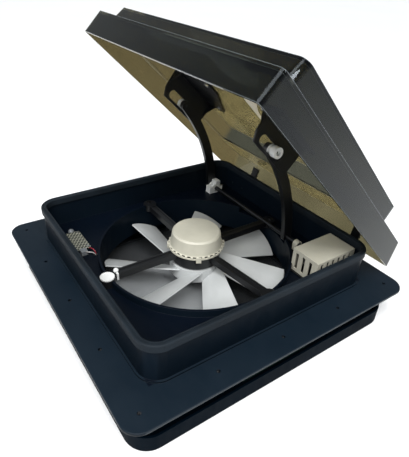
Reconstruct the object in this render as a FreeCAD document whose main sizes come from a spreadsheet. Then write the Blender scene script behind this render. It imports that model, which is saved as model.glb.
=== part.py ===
import FreeCAD, Part
import math
import os
from types import SimpleNamespace

import Sketcher

# A powered roof vent with a hinged smoked lid, for a camper or caravan.  Millimetres, +Z up.
# The roof's outer surface is z = 0, and x = y = 0 is the middle of the flange's screw pattern.
# The lid hinges along the +Y side and opens at the -Y side.  It is drawn raised.

DIMENSIONS = {
    # flange, upstand and throat of the base
    "flange_side": 470, "flange_corner": 24, "flange_thick": 3.5,
    "gasket_side": 466, "gasket_hole": 362, "gasket_thick": 2.5,
    "upstand_side": 377, "upstand_corner": 27, "upstand_wall": 3.5, "upstand_top": 65,
    "throat_side": 350, "throat_corner": 20, "throat_bottom": -30,
    "floor_top": 16, "floor_thick": 3,
    "plinth_step": 2.5, "plinth_height": 2.5,
    "hole_half": 210.5, "hole_pitch": 105.25, "hole_radius": 2.5,
    "grommet_radius": 3, "wire_radius": 0.8,
    # rubber edging pushed on the upstand
    "edging_out": 382, "edging_in": 365, "edging_bottom": 56, "edging_top": 66.5,
    "edging_line": 2,
    # ring round the fan, and the cross that carries the motor
    "ring_radius": 151, "ring_wall": 3.5, "ring_top": 27, "ring_bottom": -22,
    "notch_half": 62, "notch_front": 120, "notch_bottom": 17,
    "strut_width": 12, "strut_bottom": 17.5, "strut_top": 28, "strut_turn": 8,
    "foot_radius": 11.5, "foot_reach": 155.5, "foot_cap": 2, "foot_screw": 4,
    "disc_radius": 10.4, "disc_rim": 1.8,
    "front_foot_turn": 2.3,
    "cup_radius": 39.5, "cup_wall": 3, "cup_bottom": 7, "cup_top": 28,
    "motor_screw_ring": 22, "ball_radius": 3.9, "strap_thick": 1.2,
    # fan, motor and its cap
    "fan_tip": 146, "hub_radius": 42, "hub_top": 4, "hub_bottom": -17, "hub_wall": 2.5,
    "blade_thick": 2.2, "petal_x": 54, "petal_y": 12, "petal_radius": 91,
    "motor_radius": 29, "motor_height": 32, "spindle_radius": 4,
    "cap_radius": 38.5, "cap_foot_radius": 41.5, "cap_skirt_radius": 44.5, "cap_bottom": 28,
    "cap_top": 55.5, "cap_wall": 2,
    # lid, in two stepped tiers
    "lid_width": 400, "lid_length": 428, "lid_low": 37, "lid_slope": 20,
    "lid_high_width": 387, "lid_high_rear": 87, "lid_high_front": 409, "lid_high": 26.5,
    "lid_wall": 3, "lid_open": 44, "lid_lip_y": 221.4, "lid_lip_z": 33.3,
    # hinge
    "hinge_y": 212, "hinge_z": 20, "hinge_x": 130, "pin_radius": 2.5, "knuckle_radius": 6,
    "knuckle_width": 16, "ear_thick": 4, "ear_radius": 7.5, "ear_foot": 3, "ear_foot_top": 38,
    "ear_screw_z": 31, "leaf_thick": 4.3, "leaf_rise": 26, "rivet_rise": 16,
    # lift shaft, arms, rollers and brackets
    "lift_y": 147, "lift_z": 26, "arm_length": 182.4, "arm_open": 68.8, "arm_closed": 9.34,
    "arm_bulge": 15, "arm_width": 17, "arm_thick": 8, "arm_boss": 8.5,
    "right_arm": 54, "left_arm": -168, "rod_radius": 4,
    "roller_radius": 8.5, "roller_neck": 6, "roller_pin": 2.5, "slot_width": 15,
    "web_thick": 3, "web_offset": 6.5, "bracket_rear": 174, "bracket_front": 280, "bracket_low": 10,
    "bracket_foot": 4, "gusset_reach": 16, "gusset_drop": 22, "slot_spare": 14,
    "roller_end": 10, "roller_cup": 4, "roller_cup_deep": 4,
    # lift gearbox
    "gearbox_x": 116, "gearbox_y": 100, "gearbox_width": 50, "gearbox_length": 80,
    "gearbox_top": 56, "gearbox_wall": 2, "worm_x": 141, "worm_height": 18.5, "worm_radius": 4.3,
    "wheel_radius": 13.7, "lift_motor_radius": 9, "motor_length": 26, "stem_radius": 1.5,
    "plate_thick": 2, "bearing_x": 77, "bearing_end": 86, "bearing_radius": 6.5,
    "clip_x": -163, "clip_length": 14, "clip_reach": 15,
    # ceiling trim, screen and key pad
    "trim_side": 444, "trim_corner": 32, "trim_wall": 3, "trim_bottom": -61, "trim_top": -34,
    "face_level": -52, "face_thick": 3, "stem_hole": 2.6, "frame_tall": 4, "frame_wide": 8,
    "neck_side": 341, "neck_top": -8,
    "button_radius": 7, "button_gap": 0.3, "button_pitch": 26, "keypad_x": 195,
    # fasteners and running fits
    "screw_radius": 2, "head_radius": 4, "head_height": 2.4, "fit": 0.05, "gap": 0.3,
}

doc = FreeCAD.newDocument("roof_vent")
sheet = doc.addObject("Spreadsheet::Sheet", "sizes")
for row, (alias, number) in enumerate(DIMENSIONS.items(), start=1):
    sheet.set(f"A{row}", alias)
    sheet.set(f"B{row}", str(number))
    sheet.setAlias(f"B{row}", alias)
doc.recompute()


class Size:
    """A number together with the expression that gives it from the sheet's cells."""

    def __init__(self, number, text):
        self.number = number
        self.text = text

    def __add__(self, other):
        other = as_size(other)
        return Size(self.number + other.number, f"({self.text} + {other.text})")

    def __sub__(self, other):
        other = as_size(other)
        return Size(self.number - other.number, f"({self.text} - {other.text})")

    def __mul__(self, other):
        other = as_size(other)
        return Size(self.number * other.number, f"({self.text} * {other.text})")

    def __truediv__(self, other):
        other = as_size(other)
        return Size(self.number / other.number, f"({self.text} / {other.text})")

    def __radd__(self, other):
        return as_size(other) + self

    def __rsub__(self, other):
        return as_size(other) - self

    def __rmul__(self, other):
        return as_size(other) * self

    def __neg__(self):
        return Size(-self.number, f"(-1 * {self.text})")

    def __float__(self):
        return float(self.number)


def as_size(value):
    """A plain number as a Size; a Size as it is."""
    if isinstance(value, Size):
        return value
    return Size(float(value), f"{float(value):.6f}")


d = SimpleNamespace(**{
    alias: Size(float(number), f"sizes.{alias}") for alias, number in DIMENSIONS.items()
})
FLANGE_TOP = d.gasket_thick + d.flange_thick
FLOOR_UNDER = d.floor_top - d.floor_thick
TRIM_SCREW_LEVEL = d.neck_top - 7
X_AXIS = FreeCAD.Vector(1, 0, 0)
Y_AXIS = FreeCAD.Vector(0, 1, 0)
Z_AXIS = FreeCAD.Vector(0, 0, 1)
DOWN = FreeCAD.Vector(0, 0, -1)
STRUT_ANGLES = [float(d.strut_turn), 90, 180, 270]
FOOT_ANGLES = STRUT_ANGLES[:3] + [270 + float(d.front_foot_turn)]
MOTOR_SCREW_ANGLES = (45, 135, 225, 315)
CAP_TAB_ANGLES = (62, 152, 242, 332)
CAP_SLOTS = 30
BLADE_COUNT = 7
FIRST_BLADE = 20
# A blade's low and high edge as (across, up), at three distances out from the fan's axis.
BLADE_EDGES = ((0, (11, -12), (35, 1.5)), (80, (9.5, -17.5), (50, 3.5)), (150, (8, -22), (63, 5.5)))
SENSOR_LOW = (-142, -177)
SENSOR_HIGH = (-88, -142)
GROMMET = (-70, -142)
SHAFT_LEFT = d.left_arm - 6
SHAFT_RIGHT = d.worm_x + 6
BUTTON_NAMES = ("power", "lid", "faster", "slower")
BUTTON_PLACES = [float(d.button_pitch) * step for step in (-1.5, -0.5, 0.5, 1.5)]
EAR_SCREW_REACH = 15
NODES = {}


# ---------------------------------------------------------------- drawing helpers

def bind(thing, path, value):
    """Tie a property to the sheet."""
    thing.setExpression(path, as_size(value).text)


def node(name, thing):
    """Give a finished sub-part its name."""
    thing.Label = name
    NODES[name] = thing
    return thing


def new_body():
    return doc.addObject("PartDesign::Body", "Body")


def sketch_on(body, role, offset=0):
    """A sketch on one of the body's own origin planes, moved along the plane's normal."""
    plane = next(item for item in body.Origin.OriginFeatures if item.Role == role)
    sketch = body.newObject("Sketcher::SketchObject", "Sketch")
    sketch.AttachmentSupport = (plane, [""])
    sketch.MapMode = "FlatFace"
    bind(sketch, ".AttachmentOffset.Base.z", offset)
    return sketch


def pin_point(sketch, line, end, place):
    """Fix one end of a line, or a circle's centre (end 3), at a place given by two sizes."""
    for kind, value in zip(("DistanceX", "DistanceY"), place):
        value = as_size(value)
        rule = sketch.addConstraint(
            Sketcher.Constraint(kind, -1, 1, line, end, value.number))
        sketch.setExpression(f"Constraints[{rule}]", value.text)


def draw_outline(sketch, points):
    """A closed outline of straight lines."""
    places = [tuple(as_size(value) for value in point) for point in points]
    corners = [FreeCAD.Vector(float(u), float(v), 0) for u, v in places]
    first = sketch.GeometryCount
    count = len(corners)
    for index, corner in enumerate(corners):
        sketch.addGeometry(Part.LineSegment(corner, corners[(index + 1) % count]), False)
    for index in range(count):
        following = first + (index + 1) % count
        sketch.addConstraint(Sketcher.Constraint("Coincident", first + index, 2, following, 1))
        pin_point(sketch, first + index, 1, places[index])


def draw_circle(sketch, centre, radius):
    place = tuple(as_size(value) for value in centre)
    middle = FreeCAD.Vector(float(place[0]), float(place[1]), 0)
    circle = sketch.addGeometry(Part.Circle(middle, Z_AXIS, float(radius)), False)
    pin_point(sketch, circle, 3, place)
    rule = sketch.addConstraint(Sketcher.Constraint("Radius", circle, float(radius)))
    bind(sketch, f"Constraints[{rule}]", radius)


def draw_rounded(sketch, width, depth, corner, centre=(0, 0)):
    """A rectangle about a centre with four equal round corners."""
    u, v = (as_size(value) for value in centre)
    half_u = as_size(width) / 2 - corner
    half_v = as_size(depth) / 2 - corner
    spots = [(u + half_u, v + half_v), (u - half_u, v + half_v),
             (u - half_u, v - half_v), (u + half_u, v - half_v)]
    first = sketch.GeometryCount
    for turn, spot in enumerate(spots):
        middle = FreeCAD.Vector(float(spot[0]), float(spot[1]), 0)
        circle = Part.Circle(middle, Z_AXIS, float(corner))
        start = turn * math.pi / 2
        sketch.addGeometry(Part.ArcOfCircle(circle, start, start + math.pi / 2), False)
    for turn in range(4):
        leaving = sketch.getPoint(first + turn, 2)
        arriving = sketch.getPoint(first + (turn + 1) % 4, 1)
        sketch.addGeometry(Part.LineSegment(leaving, arriving), False)
    for turn in range(4):
        line = first + 4 + turn
        sketch.addConstraint(Sketcher.Constraint("Tangent", first + turn, 2, line, 1))
        sketch.addConstraint(Sketcher.Constraint("Tangent", line, 2, first + (turn + 1) % 4, 1))
        pin_point(sketch, first + turn, 3, spots[turn])
    rule = sketch.addConstraint(Sketcher.Constraint("Radius", first, float(corner)))
    bind(sketch, f"Constraints[{rule}]", corner)


def draw_slot(sketch, start, end, radius):
    """A slot with round ends along the sketch's horizontal."""
    u0, v0 = (as_size(value) for value in start)
    u1, v1 = (as_size(value) for value in end)
    first = sketch.GeometryCount
    for (u, v), turn in (((u0, v0), 0.5), ((u1, v1), 1.5)):
        circle = Part.Circle(FreeCAD.Vector(float(u), float(v), 0), Z_AXIS, float(radius))
        sketch.addGeometry(Part.ArcOfCircle(circle, turn * math.pi, (turn + 1) * math.pi), False)
    for side in (0, 1):
        leaving = sketch.getPoint(first + side, 2)
        arriving = sketch.getPoint(first + 1 - side, 1)
        line = sketch.addGeometry(Part.LineSegment(leaving, arriving), False)
        sketch.addConstraint(Sketcher.Constraint("Tangent", first + side, 2, line, 1))
        sketch.addConstraint(Sketcher.Constraint("Tangent", line, 2, first + 1 - side, 1))
    pin_point(sketch, first, 3, (u0, v0))
    pin_point(sketch, first + 1, 3, (u1, v1))
    rule = sketch.addConstraint(Sketcher.Constraint("Radius", first, float(radius)))
    bind(sketch, f"Constraints[{rule}]", radius)


def pad(body, sketch, length, both=False, back=False):
    feature = body.newObject("PartDesign::Pad", "Pad")
    feature.Profile = sketch
    bind(feature, "Length", length)
    feature.Midplane = both
    feature.Reversed = back
    body.Tip = feature
    return feature


def pocket(body, sketch, length, both=False, back=False):
    feature = body.newObject("PartDesign::Pocket", "Pocket")
    feature.Profile = sketch
    bind(feature, "Length", length)
    feature.Midplane = both
    feature.Reversed = back
    body.Tip = feature
    return feature


def spin(body, sketch, axis, kind="PartDesign::Revolution"):
    """Turn a sketch a whole turn about its own H_Axis or V_Axis."""
    feature = body.newObject(kind, "Turned")
    feature.Profile = sketch
    feature.ReferenceAxis = (sketch, [axis])
    feature.Angle = 360
    body.Tip = feature
    return feature


def repeat_round(body, feature, count):
    """Copies of a feature about the body's Z axis."""
    axis = next(item for item in body.Origin.OriginFeatures if item.Role == "Z_Axis")
    pattern = body.newObject("PartDesign::PolarPattern", "Round")
    pattern.Originals = [feature]
    pattern.Axis = (axis, [""])
    pattern.Angle = 360
    pattern.Occurrences = count
    body.Tip = pattern
    return pattern


def round_edges(body, radius, wanted):
    """Fillet the edges of the body's last shape that a test picks."""
    doc.recompute()
    base = body.Tip
    names = [f"Edge{number}" for number, edge in enumerate(base.Shape.Edges, start=1)
             if wanted(edge.BoundBox)]
    feature = body.newObject("PartDesign::Fillet", "Fillet")
    feature.Base = (base, names)
    bind(feature, "Radius", radius)
    body.Tip = feature
    return feature


def level(height):
    """A test for edges that lie flat at a height."""
    return lambda box: abs(box.ZMin - float(height)) < 0.01 and box.ZLength < 0.01


def place(thing, where, axis=Z_AXIS, angle=0):
    thing.Placement = FreeCAD.Placement(
        FreeCAD.Vector(*(float(value) for value in where)), FreeCAD.Rotation(axis, float(angle)))
    return thing


def box(low, high, name="Box"):
    """A Part::Box between two corners given by sizes."""
    block = doc.addObject("Part::Box", name)
    lows = [as_size(value) for value in low]
    highs = [as_size(value) for value in high]
    for path, start, end in zip(("Length", "Width", "Height"), lows, highs):
        bind(block, path, end - start)
    place(block, lows)
    for path, start in zip("xyz", lows):
        bind(block, f".Placement.Base.{path}", start)
    return block


def rod(radius, start, length, along=Z_AXIS):
    """A Part::Cylinder from a point along an axis."""
    bar = doc.addObject("Part::Cylinder", "Rod")
    bind(bar, "Radius", radius)
    bind(bar, "Height", length)
    bar.Placement = FreeCAD.Placement(
        FreeCAD.Vector(*(float(value) for value in start)), FreeCAD.Rotation(Z_AXIS, along))
    return bar


def join(*pieces):
    whole = doc.addObject("Part::MultiFuse", "Join")
    whole.Shapes = list(pieces)
    return whole


def group(*pieces):
    """Separate solids kept as one object."""
    whole = doc.addObject("Part::Compound", "Group")
    whole.Links = list(pieces)
    return whole


def cut(base, *tools):
    tool = tools[0] if len(tools) == 1 else join(*tools)
    result = doc.addObject("Part::Cut", "Cut")
    result.Base = base
    result.Tool = tool
    return result


def screw(head_at, along, length):
    """A round-headed screw; its head's underside is at head_at and its shank runs along."""
    head_start = [float(value) - float(d.head_height) * step for value, step in zip(head_at, along)]
    shank = rod(d.screw_radius, head_at, length, along)
    head = rod(d.head_radius, head_start, d.head_height, along)
    return join(shank, head)


def turned(radius, degrees, height=0):
    """A point at a radius and an angle about the fan's axis."""
    angle = math.radians(float(degrees))
    return (float(radius) * math.cos(angle), float(radius) * math.sin(angle), float(height))


def swing_about_z(piece, angle):
    """Turn a placed piece about the fan's axis."""
    as_drawn(piece)
    turn = FreeCAD.Placement(FreeCAD.Vector(), FreeCAD.Rotation(Z_AXIS, angle))
    piece.Placement = turn * piece.Placement
    return piece


def as_drawn(piece):
    """Let go of a placement's tie to the sheet, so that the piece can be turned."""
    for path in "xyz":
        piece.setExpression(f".Placement.Base.{path}", None)
    return piece


# ---------------------------------------------------------------- base and gasket

def hole_places():
    """The sixteen screw places round the flange."""
    steps = [-2, -1, 0, 1, 2]
    return [(d.hole_pitch * u, d.hole_pitch * v) for u in steps for v in steps
            if abs(u) == 2 or abs(v) == 2]


def drill_flange(body, height, depth):
    sketch = sketch_on(body, "XY_Plane", height)
    for spot in hole_places():
        draw_circle(sketch, spot, d.hole_radius)
    pocket(body, sketch, depth)


def make_base():
    body = new_body()
    flange = sketch_on(body, "XY_Plane", d.gasket_thick)
    draw_rounded(flange, d.flange_side, d.flange_side, d.flange_corner)
    pad(body, flange, d.flange_thick)
    upstand = sketch_on(body, "XY_Plane", d.gasket_thick)
    draw_rounded(upstand, d.upstand_side, d.upstand_side, d.upstand_corner)
    pad(body, upstand, d.upstand_top - d.gasket_thick)
    plinth = sketch_on(body, "XY_Plane", FLANGE_TOP)
    draw_rounded(plinth, d.upstand_side + d.plinth_step * 2, d.upstand_side + d.plinth_step * 2,
                 d.upstand_corner + d.plinth_step)
    pad(body, plinth, d.plinth_height)
    throat = sketch_on(body, "XY_Plane", d.throat_bottom)
    draw_rounded(throat, d.throat_side, d.throat_side, d.throat_corner)
    pad(body, throat, d.floor_top - d.throat_bottom)
    round_edges(body, 1.6, lambda box: level(FLANGE_TOP)(box) and (
        max(abs(box.XMin), abs(box.XMax), abs(box.YMin), abs(box.YMax)) > float(d.hole_half)))

    well = sketch_on(body, "XY_Plane", d.upstand_top)
    inner = d.upstand_side - d.upstand_wall * 2
    draw_rounded(well, inner, inner, d.upstand_corner - d.upstand_wall)
    pocket(body, well, d.upstand_top - d.floor_top)
    under = sketch_on(body, "XY_Plane", d.throat_bottom)
    inner = d.throat_side - d.upstand_wall * 2
    draw_rounded(under, inner, inner, d.throat_corner - d.upstand_wall)
    pocket(body, under, FLOOR_UNDER - d.throat_bottom, back=True)
    ring = sketch_on(body, "XY_Plane", d.ring_bottom)
    draw_circle(ring, (0, 0), d.ring_radius + d.ring_wall)
    pad(body, ring, d.ring_top - d.ring_bottom)
    eye = sketch_on(body, "XY_Plane", d.ring_top)
    draw_circle(eye, (0, 0), d.ring_radius)
    pocket(body, eye, d.ring_top - d.ring_bottom)

    seats = sketch_on(body, "XY_Plane", d.ring_top)
    for angle in FOOT_ANGLES:
        x, y, z = turned(d.foot_reach, angle)
        draw_circle(seats, (x, y), d.foot_radius + d.gap)
    pocket(body, seats, d.ring_top - d.floor_top)
    notch = sketch_on(body, "XY_Plane", d.ring_top)
    draw_outline(notch, [(-d.notch_half, d.notch_front), (d.notch_half, d.notch_front),
                         (d.notch_half, d.foot_reach + 5), (-d.notch_half, d.foot_reach + 5)])
    pocket(body, notch, d.ring_top - d.notch_bottom)
    slot = sketch_on(body, "XY_Plane", d.ring_top)
    half = d.strut_width / 2 + d.gap
    draw_outline(slot, [(-half, -d.foot_reach), (half, -d.foot_reach),
                        (half, 5 - d.ring_radius), (-half, 5 - d.ring_radius)])
    pocket(body, slot, d.ring_top - d.floor_top)
    pilots = sketch_on(body, "XY_Plane", d.floor_top)
    for angle in FOOT_ANGLES:
        x, y, z = turned(d.foot_reach + d.foot_screw, angle)
        draw_circle(pilots, (x, y), d.screw_radius)
    draw_circle(pilots, GROMMET, d.grommet_radius)
    pocket(body, pilots, d.floor_thick)
    hinge_pilots = sketch_on(body, "XZ_Plane", -d.upstand_side / 2)
    for side in (-1, 1):
        for step in (-EAR_SCREW_REACH, EAR_SCREW_REACH):
            draw_circle(hinge_pilots, (d.hinge_x * side + step, d.ear_screw_z), d.screw_radius)
    pocket(body, hinge_pilots, d.upstand_wall, back=True)
    for role in ("XZ_Plane", "YZ_Plane"):
        sides = sketch_on(body, role)
        draw_circle(sides, (0, TRIM_SCREW_LEVEL), d.screw_radius)
        pocket(body, sides, d.flange_side, both=True)
    drill_flange(body, FLANGE_TOP, d.flange_thick)
    return node("base_housing", body)


def make_gasket():
    body = new_body()
    sketch = sketch_on(body, "XY_Plane")
    draw_rounded(sketch, d.gasket_side, d.gasket_side, d.flange_corner - 2)
    draw_rounded(sketch, d.gasket_hole, d.gasket_hole, d.throat_corner)
    pad(body, sketch, d.gasket_thick)
    drill_flange(body, d.gasket_thick, d.gasket_thick)
    return node("roof_gasket", body)


def make_edging():
    body = new_body()
    band = sketch_on(body, "XY_Plane", d.edging_bottom)
    margin = (d.edging_out - d.upstand_side) / 2
    draw_rounded(band, d.edging_out, d.edging_out, d.upstand_corner + margin)
    draw_rounded(band, d.edging_in, d.edging_in,
                 d.upstand_corner - (d.upstand_side - d.edging_in) / 2)
    pad(body, band, d.edging_top - d.edging_bottom)
    round_edges(body, 2.2, level(d.edging_top))
    middle = (d.edging_out + d.edging_in) / 2
    middle_corner = d.upstand_corner - (d.upstand_side - middle) / 2
    line = sketch_on(body, "XY_Plane", d.edging_top)
    for side in (1, -1):
        draw_rounded(line, middle + side * d.edging_line, middle + side * d.edging_line,
                     middle_corner + side * d.edging_line / 2)
    pocket(body, line, 0.8)
    groove = sketch_on(body, "XY_Plane", d.edging_bottom)
    inner = d.upstand_side - d.upstand_wall * 2
    draw_rounded(groove, d.upstand_side, d.upstand_side, d.upstand_corner)
    draw_rounded(groove, inner, inner, d.upstand_corner - d.upstand_wall)
    pocket(body, groove, d.upstand_top - d.edging_bottom, back=True)
    return node("rim_edging", body)


# ---------------------------------------------------------------- motor cross and motor

def make_cross():
    cup = rod(d.cup_radius, (0, 0, d.cup_bottom), d.cup_top - d.cup_bottom)
    beams = [cup]
    holes = [
        rod(d.cup_radius - d.cup_wall, (0, 0, d.cup_bottom + d.cup_wall), d.cup_top - d.cup_bottom),
        rod(d.spindle_radius + 3, (0, 0, d.cup_bottom - 1), d.cup_wall + 2),
    ]
    groove_depth = 1.2
    for angle in STRUT_ANGLES:
        beam = box((d.cup_radius - 1, -d.strut_width / 2, d.strut_bottom),
                   (d.foot_reach, d.strut_width / 2, d.strut_top))
        groove = box((d.cup_radius + 6, -d.strut_width / 2 + 3, d.strut_top - groove_depth),
                     (d.foot_reach - 14, d.strut_width / 2 - 3, d.strut_top + 1))
        for piece in (beam, groove):
            swing_about_z(piece, angle)
        beams.append(beam)
        holes.append(groove)
    for angle in FOOT_ANGLES:
        foot = turned(d.foot_reach, angle, d.floor_top)
        beams.append(rod(d.foot_radius, foot, d.strut_top - d.floor_top))
        bore = turned(d.foot_reach + d.foot_screw, angle, d.floor_top - 1)
        holes.append(rod(d.screw_radius, bore, d.strut_top - d.floor_top + 2))
    for angle in MOTOR_SCREW_ANGLES:
        start = turned(d.motor_screw_ring, angle, d.cup_bottom - 1)
        holes.append(rod(d.screw_radius, start, d.cup_wall + 2))
    room = d.rod_radius + 1
    holes.append(box((-d.strut_width * 2, d.lift_y - room, d.lift_z - room),
                     (d.strut_width * 2, d.lift_y + room, d.strut_top + 1)))
    return node("motor_cross", cut(join(*beams), *holes))


def make_cross_fixings():
    screws = []
    for angle in FOOT_ANGLES[:3]:
        screws.append(screw(turned(d.foot_reach + d.foot_screw, angle, d.strut_top), DOWN,
                            d.strut_top - FLOOR_UNDER))
    node("cross_screws", group(*screws))
    disc = rod(d.disc_radius, turned(d.foot_reach, FOOT_ANGLES[3], d.strut_top), d.foot_cap)
    dish = rod(d.disc_radius - d.disc_rim,
               turned(d.foot_reach, FOOT_ANGLES[3], d.strut_top + d.foot_cap - 0.5), 1)
    plug = rod(d.screw_radius - d.fit,
               turned(d.foot_reach + d.foot_screw, FOOT_ANGLES[3], FLOOR_UNDER),
               d.strut_top - FLOOR_UNDER + 1)
    node("strut_end_cap", join(cut(disc, dish), plug))

    ball_x, ball_y = 1, d.foot_radius + 4.5 - d.foot_reach
    ball = doc.addObject("Part::Sphere", "Ball")
    bind(ball, "Radius", d.ball_radius)
    place(ball, (ball_x, ball_y, d.strut_top + d.ball_radius - 0.8))
    flat = box((-9, ball_y - 6, d.strut_bottom), (9, ball_y + 6, d.strut_top))
    edge = d.strut_width / 2
    across = box((ball_x, ball_y - 1.5, d.strut_top),
                 (edge + d.strap_thick, ball_y + 1.5, d.strut_top + d.strap_thick))
    down = box((edge, ball_y - 1.5, d.strut_bottom),
               (edge + d.strap_thick, ball_y + 1.5, d.strut_top + d.strap_thick))
    node("strut_ball_clip", join(cut(ball, flat), across, down))


def make_motor():
    base = d.cup_bottom + d.cup_wall
    can = rod(d.motor_radius, (0, 0, base), d.motor_height - 4)
    neck = rod(d.motor_radius / 2, (0, 0, base + d.motor_height - 5), 5)
    bore = rod(d.spindle_radius + d.fit, (0, 0, base - 1), d.motor_height - 8)
    taps = [rod(d.screw_radius, turned(d.motor_screw_ring, angle, base - 1), 5)
            for angle in MOTOR_SCREW_ANGLES]
    node("fan_motor", cut(join(can, neck), bore, *taps))
    screws = [screw(turned(d.motor_screw_ring, angle, d.cup_bottom), Z_AXIS, d.cup_wall + 4)
              for angle in MOTOR_SCREW_ANGLES]
    node("motor_screws", group(*screws))


def make_motor_cap():
    body = new_body()
    profile = sketch_on(body, "XZ_Plane")
    skirt_top = d.cap_bottom + 5
    wall = d.cap_wall
    draw_outline(profile, [
        (0, d.cap_top), (d.cap_radius - 2.5, d.cap_top), (d.cap_radius, d.cap_top - 2.5),
        (d.cap_foot_radius, skirt_top), (d.cap_skirt_radius, skirt_top - 1),
        (d.cap_skirt_radius, d.cap_bottom), (d.cap_skirt_radius - wall, d.cap_bottom),
        (d.cap_skirt_radius - wall, skirt_top - 2.5), (d.cap_foot_radius - wall, skirt_top - 1.5),
        (d.cap_radius - wall, d.cap_top - 3.5), (d.cap_radius - wall - 1.5, d.cap_top - wall),
        (0, d.cap_top - wall)])
    spin(body, profile, "V_Axis")
    slot = sketch_on(body, "XZ_Plane")
    reach = d.cap_skirt_radius + 1
    draw_outline(slot, [(d.cap_foot_radius - 3, d.cap_bottom + 2.2),
                        (reach, d.cap_bottom + 2.2), (reach, d.cap_bottom + 4.6),
                        (d.cap_foot_radius - 3, d.cap_bottom + 4.6)])
    repeat_round(body, pocket(body, slot, 5.4, both=True), CAP_SLOTS)
    tabs = sketch_on(body, "XY_Plane", d.cap_bottom - 4)
    for angle in CAP_TAB_ANGLES:
        lean = math.radians(angle)
        outline = []
        for radius, side in ((-0.2, -4), (1.6, -4), (1.6, 4), (-0.2, 4)):
            reach = float(d.cap_skirt_radius) + radius
            outline.append((reach * math.cos(lean) - side * math.sin(lean),
                            reach * math.sin(lean) + side * math.cos(lean)))
        draw_outline(tabs, outline)
    pad(body, tabs, 9)
    return node("motor_cap", body)


# ---------------------------------------------------------------- fan

def blade_section(out, low_edge, high_edge):
    """A thin cambered section across a blade, from its low edge up to its high edge."""
    chord = math.dist(low_edge, high_edge)
    lean = math.atan2(high_edge[1] - low_edge[1], high_edge[0] - low_edge[0])
    half, camber, thick = chord / 2, chord * 0.035, float(d.blade_thick) / 2
    middle = FreeCAD.Vector(out, (low_edge[0] + high_edge[0]) / 2, (low_edge[1] + high_edge[1]) / 2)
    flat = ((-half, -thick), (0, camber - thick), (half, -thick),
            (half, thick), (0, camber + thick), (-half, thick))
    tilt = FreeCAD.Rotation(X_AXIS, math.degrees(lean))
    points = [middle + tilt.multVec(FreeCAD.Vector(0, across, rise)) for across, rise in flat]
    low = Part.Arc(points[0], points[1], points[2]).toShape()
    high = Part.Arc(points[3], points[4], points[5]).toShape()
    return Part.Wire([low, Part.makeLine(points[2], points[3]), high,
                      Part.makeLine(points[5], points[0])])


def make_fan():
    """One moulding: a hub open below, and seven pitched paddles set tangent to it.

    Each paddle runs straight out beside the radius, and an off-centre disc rounds its tip.
    """
    hub_radius = float(d.hub_radius)
    low, high = float(d.hub_bottom), float(d.hub_top)
    hub_floor, sleeve_radius, sleeve_start = 3, 9, 4
    hub = Part.makeCylinder(hub_radius, high - low, FreeCAD.Vector(0, 0, low))
    hollow = Part.makeCylinder(hub_radius - float(d.hub_wall), high - low - hub_floor,
                               FreeCAD.Vector(0, 0, low))
    sleeve = Part.makeCylinder(sleeve_radius, high - low - sleeve_start,
                               FreeCAD.Vector(0, 0, low + sleeve_start))
    hub = hub.cut(hollow).fuse(sleeve)
    blade = Part.makeLoft([blade_section(*edges) for edges in BLADE_EDGES], True, False)
    below, tall, root_overlap = -40, 80, 1.2
    reach = Part.makeCylinder(float(d.fan_tip), tall, FreeCAD.Vector(0, 0, below))
    core = Part.makeCylinder(hub_radius - root_overlap, tall, FreeCAD.Vector(0, 0, below))
    petal = Part.makeCylinder(float(d.petal_radius), tall,
                              FreeCAD.Vector(float(d.petal_x), float(d.petal_y), below))
    blade = blade.common(reach).common(petal).cut(core)
    fan = hub
    for number in range(BLADE_COUNT):
        turn = FIRST_BLADE + number * 360 / BLADE_COUNT
        copy = blade.copy()
        copy.rotate(FreeCAD.Vector(), Z_AXIS, turn)
        fan = fan.fuse(copy)
    fan = fan.cut(Part.makeCylinder(float(d.spindle_radius), tall, FreeCAD.Vector(0, 0, below)))
    thing = doc.addObject("Part::Feature", "Fan")
    thing.Shape = fan.removeSplitter()
    node("fan_blades", thing)
    node("fan_spindle", rod(d.spindle_radius, (0, 0, d.hub_bottom - 4),
                            d.cup_bottom + d.cup_wall + 20 - d.hub_bottom + 4))
    nut = doc.addObject("Part::Prism", "Nut")
    nut.Polygon = 6
    bind(nut, "Circumradius", d.spindle_radius * 2)
    bind(nut, "Height", 5)
    place(nut, (0, 0, d.hub_bottom - 2))
    bore = rod(d.spindle_radius, (0, 0, d.hub_bottom - 3), 8)
    node("fan_nut", cut(nut, bore))


# ---------------------------------------------------------------- rain sensor

def make_sensor():
    """A board on four posts, with its terminal and the white eye beside it."""
    lift, thick, inset, pin_radius = 3, 1.6, 4, 1.2
    level_of_board = d.floor_top + lift
    board = box((SENSOR_LOW[0], SENSOR_LOW[1], level_of_board),
                (SENSOR_HIGH[0], SENSOR_HIGH[1], level_of_board + thick))
    drills = []
    posts = []
    screws = []
    for x in (SENSOR_LOW[0] + inset, SENSOR_HIGH[0] - inset):
        for y in (SENSOR_LOW[1] + inset, SENSOR_HIGH[1] - inset):
            drills.append(rod(pin_radius, (x, y, level_of_board - 1), thick + 2))
            posts.append(rod(3, (x, y, d.floor_top), lift))
            pin = rod(pin_radius, (x, y, level_of_board), thick)
            head = rod(2.2, (x, y, level_of_board + thick), 1.4)
            screws.append(join(pin, head))
    node("sensor_board", cut(board, *drills))
    node("sensor_posts", group(*posts))
    node("sensor_screws", group(*screws))
    node("sensor_terminal", box((-86, -162, d.floor_top), (-76, -152, d.floor_top + 7.5)))
    eye = doc.addObject("Part::Sphere", "Eye")
    bind(eye, "Radius", 5)
    place(eye, (SENSOR_LOW[0] - 5.3, -153.5, level_of_board))
    under_floor = box((-160, -165, d.floor_top - 6), (-140, -142, d.floor_top))
    node("sensor_eye", cut(eye, under_floor))


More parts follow.
